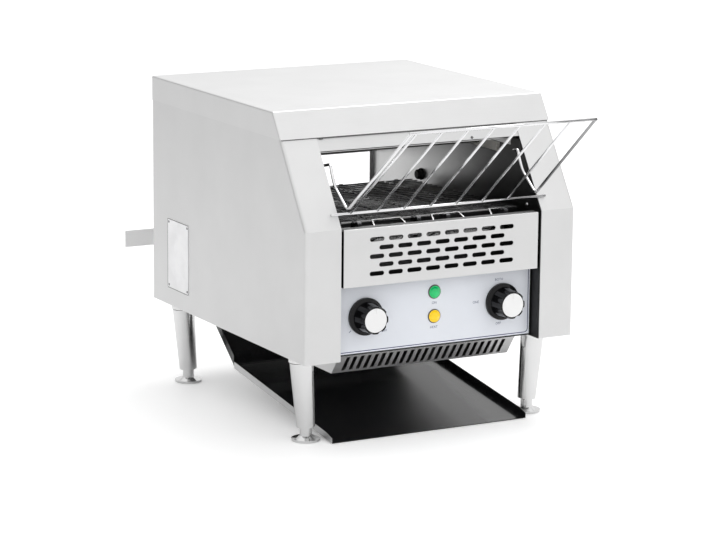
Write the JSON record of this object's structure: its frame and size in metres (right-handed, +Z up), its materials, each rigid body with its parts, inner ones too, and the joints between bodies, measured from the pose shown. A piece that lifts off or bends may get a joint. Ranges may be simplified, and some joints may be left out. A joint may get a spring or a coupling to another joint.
{
  "type": "conveyor toaster",
  "caption": "Counter-top conveyor toaster: wire belt through a heated cavity, leaning wire feed rack, two control knobs, and a return tray under the body.",
  "frame": {"origin": "middle of the bottom of the whole outline, on the counter under the four feet", "axes": "+X to the right seen from the front, +Y to the rear, +Z up; the feed opening and the knobs face -Y"},
  "size_m": [0.368, 0.6392, 0.3902],
  "materials": {
    "steel_skin": "satin, finely brushed",
    "steel_inner": "satin",
    "panel_sheet": "satin",
    "panel_film": "matte, pale lavender",
    "belt_steel": "bright wire",
    "rack_chrome": "polished",
    "shaft_steel": "turned",
    "leg_steel": "bright satin",
    "black_enamel": "glossy",
    "knob_black": "glossy",
    "cap_white": "satin",
    "green_lens": "glossy",
    "yellow_lens": "glossy",
    "element_tube": "dull oxide",
    "ceramic_white": "unglazed",
    "motor_grey": "satin",
    "black_plastic": "matte"
  },
  "bodies": {
    "frame": {"top_cover": "steel_skin", "right_side_panel": "steel_skin", "left_side_panel": "steel_skin", "header_strip": "steel_skin", "rear_panel": "steel_skin", "right_cavity_wall": "steel_inner", "left_cavity_wall": "steel_inner", "upper_reflector": "steel_inner", "perforated_panel": "steel_skin", "control_panel": "panel_sheet", "panel_film": "panel_film", "bottom_pan": "steel_inner", "compartment_deck": "steel_inner", "compartment_wall": "steel_inner", "right_base_rail": "steel_inner", "left_base_rail": "steel_inner", "rear_spacers": "steel_skin", "wire_belt": "belt_steel", "belt_support": "steel_inner", "shaft_bearings": "shaft_steel", "drive_chain": "shaft_steel", "gear_motor": "motor_grey", "upper_elements": "element_tube", "lower_elements": "element_tube", "element_holders": "ceramic_white", "speed_controller": "black_plastic", "selector_switch": "black_plastic", "lamp_holders": "black_plastic", "green_lamp": "green_lens", "yellow_lamp": "yellow_lens", "fan_frame": "black_plastic", "terminal_block": "black_plastic", "cord_inlet": "black_plastic", "rear_chute": "black_enamel", "front_left_leg": "leg_steel", "rear_left_leg": "leg_steel", "front_right_leg": "leg_steel", "rear_right_leg": "leg_steel"},
    "rack": {"bread_rack": "rack_chrome"},
    "drive_roller": {"drive_shaft": "shaft_steel", "drive_wheels": "shaft_steel", "shaft_sprocket": "shaft_steel"},
    "idler_roller": {"idler_shaft": "shaft_steel", "idler_wheels": "shaft_steel"},
    "motor_output": {"motor_shaft": "shaft_steel", "motor_sprocket": "shaft_steel"},
    "fan": {"fan_rotor": "black_plastic"},
    "speed_control": {"speed_knob": "knob_black", "speed_knob_cap": "cap_white", "speed_spindle": "shaft_steel"},
    "selector_control": {"selector_knob": "knob_black", "selector_knob_cap": "cap_white", "selector_spindle": "shaft_steel"},
    "tray": {"bread_tray": "black_enamel"},
    "front_left_foot": {"front_left_foot": "leg_steel"},
    "rear_left_foot": {"rear_left_foot": "leg_steel"},
    "front_right_foot": {"front_right_foot": "leg_steel"},
    "rear_right_foot": {"rear_right_foot": "leg_steel"}
  },
  "joints": [
    {"name": "rack_swing", "type": "hinge", "parent": "frame", "child": "rack", "pos_m": [0, -0.12766, 0.324], "axis": [-1, 0, 0], "range_deg": [0, 65]},
    {"name": "belt_drive", "type": "hinge", "parent": "frame", "child": "drive_roller", "pos_m": [0, 0.10049, 0.23941], "axis": [1, 0, 0], "continuous": true, "deforming": ["wire_belt", "drive_chain"]},
    {"name": "idler_turn", "type": "hinge", "parent": "frame", "child": "idler_roller", "pos_m": [0, -0.15341, 0.2465], "axis": [1, 0, 0], "continuous": true},
    {"name": "motor_turn", "type": "hinge", "parent": "frame", "child": "motor_output", "pos_m": [0.152, 0.05755, 0.14733], "axis": [1, 0, 0], "continuous": true},
    {"name": "fan_turn", "type": "hinge", "parent": "frame", "child": "fan", "pos_m": [-0.062, 0.07358, 0.152], "axis": [0, 1, 0], "continuous": true},
    {"name": "speed_knob_turn", "type": "hinge", "parent": "frame", "child": "speed_control", "pos_m": [-0.0936, -0.16542, 0.1478], "axis": [0, -1, 0], "range_deg": [-270, 0]},
    {"name": "selector_knob_turn", "type": "hinge", "parent": "frame", "child": "selector_control", "pos_m": [0.0936, -0.16542, 0.1478], "axis": [0, -1, 0], "range_deg": [-90, 90]},
    {"name": "tray_slide", "type": "slide", "parent": "frame", "child": "tray", "axis": [0, -1, 0], "range_m": [0, 0.2]},
    {"name": "front_left_foot_screw", "type": "slide", "parent": "frame", "child": "front_left_foot", "axis": [0, 0, -1], "range_m": [0, 0.01]},
    {"name": "rear_left_foot_screw", "type": "slide", "parent": "frame", "child": "rear_left_foot", "axis": [0, 0, -1], "range_m": [0, 0.01]},
    {"name": "front_right_foot_screw", "type": "slide", "parent": "frame", "child": "front_right_foot", "axis": [0, 0, -1], "range_m": [0, 0.01]},
    {"name": "rear_right_foot_screw", "type": "slide", "parent": "frame", "child": "rear_right_foot", "axis": [0, 0, -1], "range_m": [0, 0.01]}
  ],
  "couplings": [
    {"joint": "idler_turn", "follows": "belt_drive", "ratio": 1},
    {"joint": "motor_turn", "follows": "belt_drive", "ratio": 1}
  ]
}
